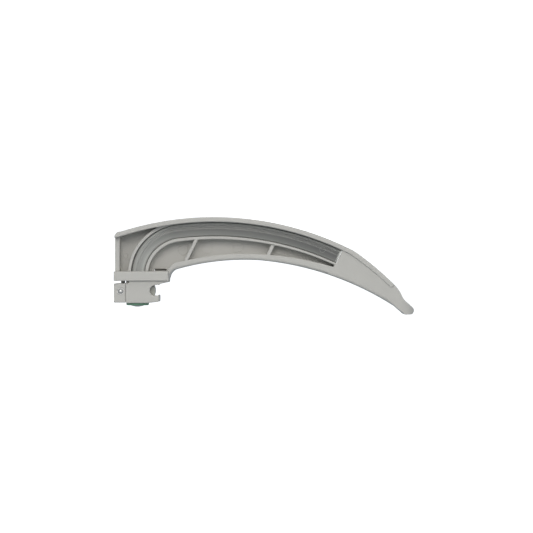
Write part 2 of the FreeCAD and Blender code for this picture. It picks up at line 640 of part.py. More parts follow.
def revolve(body, name, draw, axis_x):
    """Turn a side sketch about a vertical line through axis_x."""
    sketch = new_sketch(body, name + "_sketch", "side", "0")
    draw(sketch)
    axis = sketch.addGeometry(Part.LineSegment(FreeCAD.Vector(value(axis_x), 0, 0),
                                               FreeCAD.Vector(value(axis_x), value("clear_under"), 0)), True)
    sketch.addConstraint(Sketcher.Constraint("Vertical", axis))
    bind(sketch, "DistanceX", -1, 1, axis, 1, size=axis_x)
    bind(sketch, "DistanceY", -1, 1, axis, 1, size="0")
    bind(sketch, "DistanceY", axis, 1, axis, 2, size="clear_under")
    feature = body.newObject("PartDesign::Revolution", name)
    feature.Profile = sketch
    feature.ReferenceAxis = (sketch, ["Axis0"])
    feature.Angle = 360
    document.recompute()
    check(feature)
    return feature


revolve(guide, "inlet_dome", dome_outline, "barrel_x")

ring = new_body("colour_ring")


def ring_outline(sketch):
    """The ring's section: a flange under the block and a neck pressed up into its counterbore."""
    outline(sketch, [
        ("barrel_x + ring_bore", "ring_under", None),
        ("barrel_x + ring_radius - ring_round", "ring_under", "ring_round"),
        ("barrel_x + ring_radius", "ring_under + ring_round", None),
        ("barrel_x + ring_radius", "block_under", None),
        ("barrel_x + ring_neck", "block_under", None),
        ("barrel_x + ring_neck", "block_under + ring_neck_depth", None),
        ("barrel_x + ring_bore", "block_under + ring_neck_depth", None),
    ])


revolve(ring, "ring_section", ring_outline, "barrel_x")

# ---------------------------------------------------------------- leaf spring behind the hinge pin

leaf = new_body("pin_leaf_spring")


LEAF_BOW = "((leaf_end_z^2 + (leaf_front - leaf_end_x)^2) / (leaf_front - leaf_end_x) / 2)"


def leaf_outline(sketch):
    """A strip bowed towards the hinge pin, with both ends resting in the block's slot."""
    bow = LEAF_BOW
    outline(sketch, [
        ("leaf_end_x", "-leaf_end_z", bow),
        ("leaf_front", "0", bow),
        ("leaf_end_x", "leaf_end_z", None),
        ("leaf_end_x - leaf_thick", "leaf_end_z - leaf_step", f"-{bow} - leaf_thick"),
        ("leaf_front - leaf_thick", "0", f"-{bow} - leaf_thick"),
        ("leaf_end_x - leaf_thick", "-leaf_end_z + leaf_step", None),
    ])


def leaf_return_outline(sketch):
    """The strip's inner layer, folded back behind the first with a narrow gap between them."""
    front = "leaf_front - leaf_thick - leaf_apart"
    bow = f"{LEAF_BOW} - leaf_thick - leaf_apart"
    outline(sketch, [
        ("leaf_return_end_x", "-leaf_return_end_z", bow),
        (front, "0", bow),
        ("leaf_return_end_x", "leaf_return_end_z", None),
        ("leaf_return_end_x - leaf_return_step", "leaf_return_end_z", f"-{bow} - leaf_thick"),
        (f"{front} - leaf_thick", "0", f"-{bow} - leaf_thick"),
        ("leaf_return_end_x - leaf_return_step", "-leaf_return_end_z", None),
    ])


def leaf_arm_outline(sketch):
    """The strip's upper end, bent forward under the jaw with a bump that meets the hinge pin first."""
    outline(sketch, [
        ("leaf_root_x", "leaf_end_z - leaf_thick", None),
        ("leaf_knee_x", "leaf_knee_z", None),
        ("leaf_bump_x", "leaf_bump_z", None),
        ("leaf_toe_x", "leaf_toe_z", None),
        ("leaf_toe_x", "leaf_toe_z + leaf_thick", None),
        ("leaf_bump_x", "leaf_bump_z + leaf_thick", None),
        ("leaf_knee_x + leaf_knee_lap", "leaf_knee_z + leaf_thick", None),
        ("leaf_root_x", "leaf_end_z", None),
    ])


def leaf_side_outline(sketch):
    """A wing bent back from each long edge of the strip, which stiffens its middle."""
    reach = "(leaf_side_front - leaf_side_end_x)"
    bow = f"((leaf_side_z^2 + {reach}^2) / {reach} / 2)"
    outline(sketch, [
        ("leaf_side_x", "-leaf_side_z", None),
        ("leaf_side_end_x", "-leaf_side_z", bow),
        ("leaf_side_front", "0", bow),
        ("leaf_side_end_x", "leaf_side_z", None),
        ("leaf_side_x", "leaf_side_z", None),
    ])


pad(leaf, "leaf_strip", "side", "-leaf_half", "leaf_half * 2", leaf_outline)
pad(leaf, "leaf_return", "side", "-leaf_half", "leaf_half * 2", leaf_return_outline)
pad(leaf, "leaf_fold", "side", "-leaf_half", "leaf_half * 2",
    lambda sketch: rectangle(sketch, "leaf_fold_left", "leaf_fold_under", "leaf_fold_right", "leaf_fold_top"))
pad(leaf, "leaf_arm", "side", "-leaf_half", "leaf_half * 2", leaf_arm_outline)
pad(leaf, "leaf_near_wing", "side", "leaf_half - leaf_side_thick", "leaf_side_thick", leaf_side_outline)
pad(leaf, "leaf_far_wing", "side", "-leaf_half", "leaf_side_thick", leaf_side_outline)

# ---------------------------------------------------------------- check and write every piece

pieces = [blade, heel, housing, guide, ring, leaf, coil] + sleeves + balls
document.recompute()
for item in document.Objects:
    if "Invalid" in item.State or "Error" in item.State:
        raise RuntimeError(f"{item.Name} failed: {item.State}")
for piece in pieces:
    if piece.Shape.isNull() or not piece.Shape.isValid() or len(piece.Shape.Solids) != 1:
        raise RuntimeError(f"{piece.Label} is not one valid solid")
os.makedirs("parts", exist_ok=True)
for piece in pieces:
    piece.Shape.exportStep(f"parts/{piece.Label}.step")
    box = piece.Shape.BoundBox
    print(f"{piece.Label}: {piece.Shape.Volume:.1f} mm3,"
          f" {box.XLength:.1f} x {box.YLength:.1f} x {box.ZLength:.1f} mm")
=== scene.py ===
"""Curved single-use laryngoscope blade with a hook-on heel, put together piece by piece, in metres."""
import math
import bmesh
import bpy
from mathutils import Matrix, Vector


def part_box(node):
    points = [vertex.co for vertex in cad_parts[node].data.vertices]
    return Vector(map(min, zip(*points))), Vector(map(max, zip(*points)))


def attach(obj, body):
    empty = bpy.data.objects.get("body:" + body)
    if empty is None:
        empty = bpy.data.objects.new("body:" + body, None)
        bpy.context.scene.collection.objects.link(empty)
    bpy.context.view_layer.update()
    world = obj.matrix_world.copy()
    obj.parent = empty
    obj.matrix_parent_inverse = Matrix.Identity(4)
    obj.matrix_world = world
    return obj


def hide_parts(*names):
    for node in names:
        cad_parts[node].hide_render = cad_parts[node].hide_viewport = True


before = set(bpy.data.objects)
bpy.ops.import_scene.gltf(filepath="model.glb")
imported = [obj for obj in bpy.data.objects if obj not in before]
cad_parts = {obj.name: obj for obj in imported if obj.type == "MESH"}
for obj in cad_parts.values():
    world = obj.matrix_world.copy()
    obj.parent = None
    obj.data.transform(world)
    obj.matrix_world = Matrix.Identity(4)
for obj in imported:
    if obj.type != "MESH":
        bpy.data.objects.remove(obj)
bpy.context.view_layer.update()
MM = 0.001

# ---------------------------------------------------------------- studio
# A pale board runs under the blade and sweeps up behind and before it, in even white light from soft
# boxes on every side. The camera looks straight at the blade's open left side from about 0.8 m.

CAMERA_AWAY = 777 * MM
NEAR_FACE = -6.0 * MM
VIEW_CENTRE = (48.1 * MM, 10.4 * MM)
VIEW_WIDTH = 230.1 * MM
SENSOR = 36.0

camera_data = bpy.data.cameras.new("camera")
camera_data.sensor_width = SENSOR
camera_data.lens = SENSOR * CAMERA_AWAY / VIEW_WIDTH
camera_data.clip_start = 0.01
camera = bpy.data.objects.new("camera", camera_data)
camera.location = (VIEW_CENTRE[0], NEAR_FACE - CAMERA_AWAY, VIEW_CENTRE[1])
camera.rotation_euler = (math.radians(90), 0, 0)
bpy.context.scene.collection.objects.link(camera)
bpy.context.scene.camera = camera


def node_material(name, roughness, specular=0.5):
    """A new material with its Principled shader, ready for a colour network."""
    material = bpy.data.materials.new(name)
    material.use_nodes = True
    shader = material.node_tree.nodes["Principled BSDF"]
    shader.inputs["Roughness"].default_value = roughness
    shader.inputs["Specular IOR Level"].default_value = specular
    return material, shader


def mesh_piece(name, build_mesh):
    """Link a bmesh as a named piece whose object stays at the origin."""
    data = bpy.data.meshes.new(name)
    build_mesh.to_mesh(data)
    build_mesh.free()
    piece = bpy.data.objects.new(name, data)
    bpy.context.scene.collection.objects.link(piece)
    return piece


board, board_shader = node_material("pale_board", 0.9, 0.1)
board_shader.inputs["Base Color"].default_value = (0.9, 0.9, 0.9, 1)
board_shader.inputs["Emission Color"].default_value = (1, 1, 1, 1)
board_shader.inputs["Emission Strength"].default_value = 0.75

FLOOR_LEVEL = -0.06
CURVE_START = 1.6
CURVE_RADIUS = 0.6
BOARD_TOP = 5.0
BOARD_HALF = 8.0
CURVE_STEPS = 12

sweep = bmesh.new()
rise = [(CURVE_START, FLOOR_LEVEL)]
for step in range(1, CURVE_STEPS + 1):
    turn = math.radians(90) * step / CURVE_STEPS
    rise.append((CURVE_START + CURVE_RADIUS * math.sin(turn),
                 FLOOR_LEVEL + CURVE_RADIUS * (1 - math.cos(turn))))
rise.append((CURVE_START + CURVE_RADIUS, BOARD_TOP))
profile = [(-y, z) for y, z in reversed(rise)] + rise
edges = [[sweep.verts.new((side * BOARD_HALF, y, z)) for y, z in profile] for side in (-1, 1)]
for index in range(len(profile) - 1):
    sweep.faces.new((edges[0][index], edges[1][index], edges[1][index + 1], edges[0][index + 1]))
backdrop = mesh_piece("backdrop", sweep)
backdrop.data.materials.append(board)
backdrop.visible_diffuse = False
backdrop.visible_glossy = False


def soft_box(name, place, width, height, power, colour):
    """A rectangular soft box that faces the middle of the blade."""
    light = bpy.data.lights.new(name, "AREA")
    light.shape = "RECTANGLE"
    light.size = width
    light.size_y = height
    light.energy = power
    light.color = colour
    lamp = bpy.data.objects.new(name, light)
    lamp.location = place
    aim = Vector((VIEW_CENTRE[0], 0, VIEW_CENTRE[1]))
    lamp.rotation_euler = (aim - Vector(place)).to_track_quat("-Z", "Y").to_euler()
    bpy.context.scene.collection.objects.link(lamp)


soft_box("front_box", (0.05, -1.1, 0.48), 0.9, 0.6, 7.0, (1.0, 0.975, 0.94))
soft_box("back_box", (0.05, 1.1, 0.48), 0.9, 0.6, 5.0, (1.0, 0.98, 0.95))
soft_box("top_box", (0.1, -0.3, 0.9), 0.9, 0.5, 1.5, (1.0, 0.97, 0.91))
soft_box("left_box", (-1.0, -0.9, 0.0), 0.9, 0.9, 1.2, (1.0, 0.98, 0.95))
soft_box("right_box", (1.1, -0.9, 0.0), 0.9, 0.9, 1.9, (1.0, 0.98, 0.95))

world = bpy.data.worlds.new("studio")
bpy.context.scene.world = world
world.use_nodes = True
room_light = world.node_tree.nodes["Background"]
room_light.inputs["Color"].default_value = (0.86, 0.93, 1.0, 1)
room_light.inputs["Strength"].default_value = 0.47
bpy.context.scene.view_settings.view_transform = "Standard"

# ---------------------------------------------------------------- blade body
# One moulding in warm grey filled plastic: flange, web with open pockets, struts, back wall and tongue
# plate. Its outer edges are softly rounded and the skin has the fine grain of a spark-eroded mould.

WELD = 0.004 * MM
CREASE = math.radians(32)
SMOOTH_WITHIN = math.cos(math.radians(38))
COPLANAR = 0.99995
ROUNDING_STEPS = 3
BLADE_EDGE = 0.3 * MM


def settle(piece):
    """Turn a piece's modifiers into plain mesh."""
    bpy.context.view_layer.update()
    evaluated = piece.evaluated_get(bpy.context.evaluated_depsgraph_get())
    data = bpy.data.meshes.new_from_object(evaluated)
    data.name = piece.name
    piece.modifiers.clear()
    piece.data = data
    return piece


def shade(piece):
    """Corner normals ruled by the largest face nearby: flats stay flat and rounded edges look round."""
    data = piece.data
    around = [[] for _ in data.vertices]
    for face in data.polygons:
        for index in face.vertices:
            around[index].append((face.normal.copy(), face.area))
    normals = []
    for face in data.polygons:
        for index in face.vertices:
            ruling = Vector()
            for normal, area in around[index]:
                if normal.dot(face.normal) > SMOOTH_WITHIN:
                    ruling += normal * area
            normals.append(ruling.normalized())
    data.shade_smooth()
    data.normals_split_custom_set(normals)
    return piece


def refill_folds(piece):
    """Fill a flat face afresh where rounding its rim has folded its long triangles over each other.
    Faces and edges are taken in the order they are met, so that every run fills them alike."""
    build_mesh = bmesh.new()
    build_mesh.from_mesh(piece.data)
    for face in list(build_mesh.faces):
        if not face.is_valid:
            continue
        beside = [other for edge in face.edges for other in edge.link_faces if other is not face]
        if not any(other.normal.dot(face.normal) < -COPLANAR for other in beside):
            continue
        region, queue = {face: True}, [face]
        while queue:
            for edge in queue.pop().edges:
                for other in edge.link_faces:
                    if other not in region and abs(other.normal.dot(face.normal)) > COPLANAR:
                        region[other] = True
                        queue.append(other)
        edges = list(dict.fromkeys(edge for member in region for edge in member.edges))
        border = [edge for edge in edges if any(other not in region for other in edge.link_faces)]
        inside = [edge for edge in edges if all(other in region for other in edge.link_faces)]
        bmesh.ops.delete(build_mesh, geom=list(region), context="FACES_ONLY")
        bmesh.ops.delete(build_mesh, geom=inside, context="EDGES")
        bmesh.ops.triangle_fill(build_mesh, edges=border, use_beauty=True, use_dissolve=False)
    bmesh.ops.recalc_face_normals(build_mesh, faces=build_mesh.faces)
    build_mesh.to_mesh(piece.data)
    build_mesh.free()
    return piece


def rounded_copy(node, name, edge_radius):
    """Copy a CAD node, weld its facets and round its outer edges; inner corners stay as they are."""
    build_mesh = bmesh.new()
    build_mesh.from_mesh(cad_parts[node].data)
    bmesh.ops.remove_doubles(build_mesh, verts=build_mesh.verts, dist=WELD)
    bmesh.ops.dissolve_degenerate(build_mesh, edges=build_mesh.edges, dist=WELD)
    weight = build_mesh.edges.layers.float.new("bevel_weight_edge")
    for edge in build_mesh.edges:
        if not (edge.is_manifold and edge.is_convex and edge.calc_face_angle() > CREASE):
            continue
        room = min(2 * face.calc_area() / edge.calc_length() for face in edge.link_faces)
        if room > edge_radius:
            edge[weight] = 1
    piece = mesh_piece(name, build_mesh)
    rounding = piece.modifiers.new("rounding", "BEVEL")
    rounding.width = edge_radius
    rounding.segments = ROUNDING_STEPS
    rounding.limit_method = "WEIGHT"
    rounding.use_clamp_overlap = False
    rounding.loop_slide = False
    return shade(refill_folds(settle(piece)))


def finish_piece(piece, material, body, slot, *nodes):
    """Give a piece its one material and its body, and hide the CAD nodes that it stands for. The slot is not
    used.
    """
    piece.data.materials.clear()
    piece.data.materials.append(material)
    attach(piece, body)
    if nodes:
        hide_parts(*nodes)


def colour_between(tree, factor, low, high):
    """A colour that follows a factor from one shade to another."""
    blend = tree.nodes.new("ShaderNodeMix")
    blend.data_type = "RGBA"
    blend.inputs["A"].default_value = (*low, 1)
    blend.inputs["B"].default_value = (*high, 1)
    tree.links.new(factor, blend.inputs["Factor"])
    return blend.outputs["Result"]


def noise(tree, scale, detail):
    """Noise through the piece's own solid, so that it runs on round every corner."""
    place = tree.nodes.new("ShaderNodeTexCoord")
    cloud = tree.nodes.new("ShaderNodeTexNoise")
    cloud.inputs["Scale"].default_value = scale
    cloud.inputs["Detail"].default_value = detail
    tree.links.new(place.outputs["Object"], cloud.inputs["Vector"])
    return cloud.outputs["Fac"]


def bump(tree, shader, height, strength, distance):
    """A fine relief on a finish, from a height that a texture gives."""
    relief = tree.nodes.new("ShaderNodeBump")
    relief.inputs["Strength"].default_value = strength
    relief.inputs["Distance"].default_value = distance
    tree.links.new(height, relief.inputs["Height"])
    tree.links.new(relief.outputs["Normal"], shader.inputs["Normal"])


def moulded_plastic(name, dark, light, roughness, grain_depth):
    """Satin moulded plastic: filler makes the tone wander a little, and the mould leaves a fine grain."""
    material, shader = node_material(name, roughness, 0.4)
    tree = material.node_tree
    tree.links.new(colour_between(tree, noise(tree, 140, 4), dark, light), shader.inputs["Base Color"])
    bump(tree, shader, noise(tree, 5200, 3), 0.35, grain_depth)
    return material


blade_plastic = moulded_plastic("blade_plastic", (0.455, 0.445, 0.415), (0.495, 0.482, 0.45),
                                0.46, 0.012 * MM)
blade = rounded_copy("blade_body", "blade_moulding", BLADE_EDGE)
finish_piece(blade, blade_plastic, "blade", "blade_plastic", "blade_body")

# ---------------------------------------------------------------- ejector pin marks
# Faint raised rings on the pocket floors, where the mould's ejector pins pushed the blade out. They are
# part of the blade's own plastic.

PIN_MARKS = [(11.7, 17.5, 2.1), (22.2, 18.3, 2.3), (35.6, 18.6, 2.15), (58.0, 15.9, 1.5), (-13.2, 15.0, 1.1)]
MARK_RIM = 0.09 * MM
MARK_SIDES, RIM_SIDES = 40, 8
FLOOR_Y = -0.03 * MM


def node_group(name, sockets):
    """A Geometry Nodes tree with named inputs, given as (name, socket type)."""
    group = bpy.data.node_groups.new(name, "GeometryNodeTree")
    group.interface.new_socket("Geometry", in_out="INPUT", socket_type="NodeSocketGeometry")
    for label, kind in sockets:
        group.interface.new_socket(label, in_out="INPUT", socket_type="NodeSocket" + kind)
    group.interface.new_socket("Geometry", in_out="OUTPUT", socket_type="NodeSocketGeometry")
    return group


def add_node(group, kind, values=(), links=()):
    """One node, with its sockets set by name and fed from other nodes' sockets."""
    node = group.nodes.new(kind)
    for label, setting in values:
        node.inputs[label].default_value = setting
    for label, source in links:
        group.links.new(source, node.inputs[label])
    return node


def end_group(group, geometry, material):
    """Realize what the tree made, give it its material and hand it out."""
    real = add_node(group, "GeometryNodeRealizeInstances", links=[("Geometry", geometry)])
    smooth = add_node(group, "GeometryNodeSetShadeSmooth", links=[("Geometry", real.outputs[0])])
    dressed = add_node(group, "GeometryNodeSetMaterial", links=[("Geometry", smooth.outputs[0]),
                                                                ("Material", material)])
    add_node(group, "NodeGroupOutput", links=[("Geometry", dressed.outputs[0])])


def run_group(piece, group, settings):
    """Run a tree on a piece with its inputs set by identifier, and keep the result as plain mesh."""
    modifier = piece.modifiers.new(group.name, "NODES")
    modifier.node_group = group
    for item in group.interface.items_tree:
        if item.in_out == "INPUT" and item.name in settings:
            modifier[item.identifier] = settings[item.name]
    bpy.context.view_layer.update()
    evaluated = piece.evaluated_get(bpy.context.evaluated_depsgraph_get())
    data = bpy.data.meshes.new_from_object(evaluated)
    result = bpy.data.objects.new(group.name, data)
    data.name = group.name
    bpy.data.objects.remove(piece)
    bpy.context.scene.collection.objects.link(result)
    return result


marks_group = node_group("ejector_marks", [("Rim", "Float"), ("Material", "Material")])
given = marks_group.nodes.new("NodeGroupInput")
mark_size = add_node(marks_group, "GeometryNodeInputNamedAttribute", [("Name", "mark_radius")])
mark_line = add_node(marks_group, "GeometryNodeCurvePrimitiveCircle",
                     [("Resolution", MARK_SIDES), ("Radius", 1.0)])
marks_upright = add_node(marks_group, "GeometryNodeTransform", [("Rotation", (math.radians(90), 0, 0))],
                         [("Geometry", mark_line.outputs["Curve"])])
marks_placed = add_node(marks_group, "GeometryNodeInstanceOnPoints", links=[
    ("Points", given.outputs["Geometry"]), ("Instance", marks_upright.outputs[0]),
    ("Scale", mark_size.outputs["Attribute"])])
marks_curves = add_node(marks_group, "GeometryNodeRealizeInstances",
                        links=[("Geometry", marks_placed.outputs[0])])
mark_rim = add_node(marks_group, "GeometryNodeCurvePrimitiveCircle", [("Resolution", RIM_SIDES)],
                    [("Radius", given.outputs["Rim"])])
marks_swept = add_node(marks_group, "GeometryNodeCurveToMesh", links=[
    ("Curve", marks_curves.outputs[0]), ("Profile Curve", mark_rim.outputs["Curve"])])
end_group(marks_group, marks_swept.outputs[0], given.outputs["Material"])


def raised_rings(name, places, depth, rim, material):
    """Raised rings on a face at one depth, given as (x, z, radius) in millimetres."""
    points = bmesh.new()
    ring_radius = points.verts.layers.float.new("mark_radius")
    for x, z, radius in places:
        point = points.verts.new((x * MM, depth, z * MM))
        point[ring_radius] = radius * MM
    return run_group(mesh_piece(name, points), marks_group, {"Rim": rim, "Material": material})


marks = raised_rings("mark_points", PIN_MARKS, FLOOR_Y, MARK_RIM, blade_plastic)
finish_piece(marks, blade_plastic, "blade", "blade_plastic")

# ---------------------------------------------------------------- heel fitting
# A separate moulding in the same plastic, snapped into the blade's foot: a base plate and the block
# with the open hook that drops over the handle's hinge pin.

HEEL_EDGE = 0.35 * MM
fitting_plastic = moulded_plastic("fitting_plastic", (0.465, 0.455, 0.425), (0.50, 0.488, 0.455),
                                  0.5, 0.014 * MM)
heel = rounded_copy("heel_fitting", "heel_moulding", HEEL_EDGE)
finish_piece(heel, fitting_plastic, "blade", "fitting_plastic", "heel_fitting")

# ---------------------------------------------------------------- leaf spring
# A strip of dull spring steel, bowed into the hook with a wing on each side, which presses on the hinge
# pin. It is stamped, so its edges are a little broken, and it lies loose in the block's slot.

LEAF_EDGE = 0.05 * MM


def metal(name, roughness, dark, light, mottle, detail, grain, strength, depth):
    """Bare metal: its tone wanders a little, and its skin has a fine grain."""
    material, shader = node_material(name, roughness)
    shader.inputs["Metallic"].default_value = 1.0
    tree = material.node_tree
    tone = colour_between(tree, noise(tree, mottle, detail), dark, light)
    tree.links.new(tone, shader.inputs["Base Color"])
    bump(tree, shader, noise(tree, grain, 2), strength, depth)
    return material


spring_steel = metal("spring_steel", 0.34, (0.26, 0.26, 0.235), (0.40, 0.40, 0.36),
                     700, 4, 9000, 0.2, 0.004 * MM)
leaf = rounded_copy("pin_leaf_spring", "leaf_strip", LEAF_EDGE)
finish_piece(leaf, spring_steel, "leaf_spring", "spring_steel", "pin_leaf_spring")

# ---------------------------------------------------------------- light guide
# One moulding in clear acrylic: a stepped bar that bends up from the heel and lies under the crown, and
# a round barrel with a domed inlet, pressed down through the block. The far end is cut square with a
# chamfered near edge, and its pale strip is a painted highlight.

CROWN = Vector((25.5, -100.8))
LINE_RADIUS = 127.33
LARGE_BEND, SMALL_BEND = 20.01, 18.34
BEND_EXIT, BEND_JOIN, GUIDE_END = 97.15, 139.64, 64.95
GUIDE_HALF = 2.87
GUIDE_FOOT = 5.8
STEP_ANGLE = 2.0


def towards(centre, radius, angle):
    """A point at a radius, in millimetres, and an angle, in degrees, from a centre."""
    return centre + radius * Vector((math.cos(math.radians(angle)), math.sin(math.radians(angle))))


large_centre = towards(CROWN, LINE_RADIUS - LARGE_BEND, BEND_EXIT)
small_centre = towards(large_centre, LARGE_BEND - SMALL_BEND, BEND_JOIN)
guide_line = [Vector((small_centre.x - SMALL_BEND, GUIDE_FOOT))]
for centre, radius, first, last in ((small_centre, SMALL_BEND, 180, BEND_JOIN),
                                    (large_centre, LARGE_BEND, BEND_JOIN, BEND_EXIT),
                                    (CROWN, LINE_RADIUS, BEND_EXIT, GUIDE_END)):
    count = math.ceil((first - last) * max(radius, LARGE_BEND) / LARGE_BEND / STEP_ANGLE)
    for step in range(0 if centre is small_centre else 1, count + 1):
        guide_line.append(towards(centre, radius, first + (last - first) * step / count))

# The bar's section, as (inward from the centre line, depth): a broad face with two long steps outside it.
GUIDE_SECTION = [(-2.87, -0.15), (-2.87, -4.35), (-2.7, -4.6), (-1.75, -4.9), (-1.65, -4.7),
                 (-0.65, -4.75), (-0.5, -5.05), (-0.4, -5.15), (-0.2, -5.2), (1.6, -5.2),
                 (2.6, -5.1), (2.87, -4.8), (2.87, -0.15)]


def poly_curve(name, points, closed):
    """A curve through points, given in millimetres, in the curve's own plane."""
    curve = bpy.data.curves.new(name, "CURVE")
    curve.dimensions = "3D"
    spline = curve.splines.new("POLY")
    spline.points.add(len(points) - 1)
    for point, (x, y) in zip(spline.points, points):
        point.co = (x * MM, y * MM, 0, 1)
    spline.use_cyclic_u = closed
    item = bpy.data.objects.new(name, curve)
    bpy.context.scene.collection.objects.link(item)
    return item


guide_group = node_group("light_guide_bar", [("Section", "Object"), ("Material", "Material")])
given = guide_group.nodes.new("NodeGroupInput")
section = add_node(guide_group, "GeometryNodeObjectInfo", links=[("Object", given.outputs["Section"])])
place = add_node(guide_group, "GeometryNodeInputPosition")
inward = add_node(guide_group, "ShaderNodeSeparateXYZ", links=[("Vector", place.outputs["Position"])])
section_marked = add_node(guide_group, "GeometryNodeStoreNamedAttribute", [("Name", "inward")], [
    ("Geometry", section.outputs["Geometry"]), ("Value", inward.outputs["X"])])
share = add_node(guide_group, "GeometryNodeSplineParameter")
line_marked = add_node(guide_group, "GeometryNodeStoreNamedAttribute", [("Name", "along")], [
    ("Geometry", given.outputs["Geometry"]), ("Value", share.outputs["Factor"])])
upright = add_node(guide_group, "GeometryNodeSetCurveNormal", links=[("Curve", line_marked.outputs[0])])
upright.mode = "Z_UP"
swept = add_node(guide_group, "GeometryNodeCurveToMesh", [("Fill Caps", True)],
                 [("Curve", upright.outputs[0]), ("Profile Curve", section_marked.outputs[0])])
stood = add_node(guide_group, "GeometryNodeTransform", [("Rotation", (math.radians(90), 0, 0))],
                 [("Geometry", swept.outputs[0])])
end_group(guide_group, stood.outputs[0], given.outputs["Material"])


def stops(tree, attribute, low, high, colours):
    """Colours along an attribute of the mesh, given as (share of the way, grey level)."""
    value = tree.nodes.new("ShaderNodeAttribute")
    value.attribute_name = attribute
    spread = tree.nodes.new("ShaderNodeMapRange")
    spread.inputs["From Min"].default_value = low
    spread.inputs["From Max"].default_value = high
    tree.links.new(value.outputs["Fac"], spread.inputs["Value"])
    ramp = tree.nodes.new("ShaderNodeValToRGB")
    while len(ramp.color_ramp.elements) < len(colours):
        ramp.color_ramp.elements.new(0.5)
    for element, (share_of_way, level) in zip(ramp.color_ramp.elements, colours):
        element.position = share_of_way
        element.color = (level, level, level, 1)
    tree.links.new(spread.outputs["Result"], ramp.inputs["Fac"])
    return ramp.outputs["Color"]


def times(tree, first, second):
    """Two colours multiplied."""
    product = tree.nodes.new("ShaderNodeMix")
    product.data_type = "RGBA"
    product.blend_type = "MULTIPLY"
    product.inputs["Factor"].default_value = 1.0
    tree.links.new(first, product.inputs["A"])
    tree.links.new(second, product.inputs["B"])
    return product.outputs["Result"]


def flow_lines_and_glints(tree, across, along):
    """Fine streaks that run the length of a moulding, from its 'inward' and 'along' attributes: flow lines,
    and painted glint streaks.
    """
    streak = tree.nodes.new("ShaderNodeCombineXYZ")
    for socket, attribute, count in (("X", "inward", across), ("Y", "along", along)):
        value = tree.nodes.new("ShaderNodeAttribute")
        value.attribute_name = attribute
        spread = tree.nodes.new("ShaderNodeMath")
        spread.operation = "MULTIPLY"
        spread.inputs[1].default_value = count
        tree.links.new(value.outputs["Fac"], spread.inputs[0])
        tree.links.new(spread.outputs[0], streak.inputs[socket])
    cloud = tree.nodes.new("ShaderNodeTexNoise")
    cloud.inputs["Scale"].default_value = 1.0
    cloud.inputs["Detail"].default_value = 3
    tree.links.new(streak.outputs["Vector"], cloud.inputs["Vector"])
    return cloud.outputs["Fac"]


clear_acrylic, acrylic_shader = node_material("clear_acrylic", 0.16)
acrylic_shader.inputs["IOR"].default_value = 1.49
acrylic_shader.inputs["Transmission Weight"].default_value = 0.3
acrylic_tree = clear_acrylic.node_tree
# Painted light and shade across the bar: the grey levels stand in for the dark gaps at its edges, the shade
# under the flange and the glints on its steps. One set is for the heel and one for the crown, blended over
# the bend.
crown_painted_shading = stops(acrylic_tree, "inward", -GUIDE_HALF * MM, GUIDE_HALF * MM, [
    (0.0, 0.2), (0.03, 0.52), (0.08, 0.60), (0.185, 0.50), (0.21, 0.27), (0.36, 0.27), (0.39, 0.32),
    (0.42, 0.50), (0.455, 0.26), (0.55, 0.235), (0.76, 0.31), (0.93, 0.38), (1.0, 0.46)])
heel_painted_shading = stops(acrylic_tree, "inward", -GUIDE_HALF * MM, GUIDE_HALF * MM, [
    (0.0, 0.2), (0.06, 0.32), (0.12, 0.46), (0.23, 0.56), (0.32, 0.46), (0.48, 0.46), (0.55, 0.42),
    (0.67, 0.47), (0.79, 0.52), (0.815, 0.68), (0.84, 0.52), (0.93, 0.47), (1.0, 0.42)])
bend_share = stops(acrylic_tree, "along", 0.0, 1.0, [(0.10, 0.0), (0.27, 1.0)])
bands = acrylic_tree.nodes.new("ShaderNodeMix")
bands.data_type = "RGBA"
acrylic_tree.links.new(bend_share, bands.inputs["Factor"])
acrylic_tree.links.new(heel_painted_shading, bands.inputs["A"])
acrylic_tree.links.new(crown_painted_shading, bands.inputs["B"])
# Painted highlight: a pale strip over the last sliver of the bar, on its chamfered far end, stands in for
# the glint there.
painted_end_glint = stops(acrylic_tree, "along", 0.0, 1.0, [(0.9925, 0.0), (0.9945, 1.0)])
lit = acrylic_tree.nodes.new("ShaderNodeMix")
lit.data_type = "RGBA"
lit.inputs["B"].default_value = (0.82, 0.82, 0.82, 1)
acrylic_tree.links.new(painted_end_glint, lit.inputs["Factor"])
acrylic_tree.links.new(bands.outputs["Result"], lit.inputs["A"])
# Fine streaks along the bar: flow lines of the moulding, and painted glint streaks in its colour. The same
# streaks give a faint relief.
streaks = flow_lines_and_glints(acrylic_tree, 4200, 1.6)
# Painted shade: the bar is darkened along its far part, as if it lay deeper in shadow there, and turns
# bright again at the very end.
depth = stops(acrylic_tree, "along", 0.0, 1.0, [(0.35, 1.0), (0.9, 0.72), (0.99, 0.72), (0.993, 1.0)])
streaked = times(acrylic_tree, lit.outputs["Result"],
                 colour_between(acrylic_tree, streaks, (0.88, 0.88, 0.83), (1.12, 1.12, 1.05)))
acrylic_tree.links.new(times(acrylic_tree, streaked, depth), acrylic_shader.inputs["Base Color"])
bump(acrylic_tree, acrylic_shader, streaks, 0.06, 0.03 * MM)

section_curve = poly_curve("guide_section", GUIDE_SECTION, True)
bar = run_group(poly_curve("guide_line", guide_line, False), guide_group,
                {"Section": section_curve, "Material": clear_acrylic})
bpy.data.objects.remove(section_curve)

# The same shot of acrylic runs down as a round barrel to the domed inlet under the block.
BARREL_X = -7.94
BARREL_RADIUS, DOME_RADIUS, DOME_TIP, DOME_RIM, DOME_TOP = 2.8, 3.1, -7.08, -6.43, -5.3
SHOULDER_RISE = 0.2
END_CHAMFER = 0.55 * MM
END_FACE_Y = -4 * MM
DOME_STEPS, LATHE_STEPS = 8, 64

